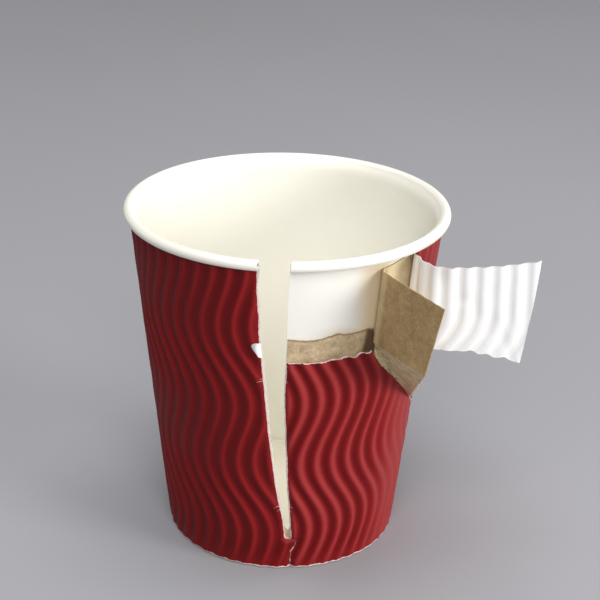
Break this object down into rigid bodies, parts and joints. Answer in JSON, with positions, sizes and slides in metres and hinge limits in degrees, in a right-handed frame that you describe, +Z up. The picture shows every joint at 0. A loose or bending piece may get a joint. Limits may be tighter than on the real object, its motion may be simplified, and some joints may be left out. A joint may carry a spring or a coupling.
{
  "type": "paper coffee cup",
  "caption": "Insulated paper cup with a rippled outer wrap, cut open down its front, with the wrap and the kraft layer torn and peeled back to show the white inner wall.",
  "frame": {"origin": "centre of the cup's foot, on the surface that the cup stands on", "axes": "+Z up along the cup's axis; the cut down the front faces -Y; the peeled flaps stand out towards +X and -Y"},
  "size_m": [0.1097, 0.0979, 0.096],
  "materials": {
    "white_paper": "coated white cup paper, satin",
    "base_paper": "coated white cup paper, satin",
    "kraft": "plain brown kraft paper, matt",
    "ripple_paper": "rippled paper, printed dark red outside and white inside, satin"
  },
  "bodies": {
    "root": {"cup_wall": "white_paper", "cup_base": "base_paper", "kraft_layer": "kraft", "ripple_wrap": "ripple_paper"}
  },
  "joints": []
}
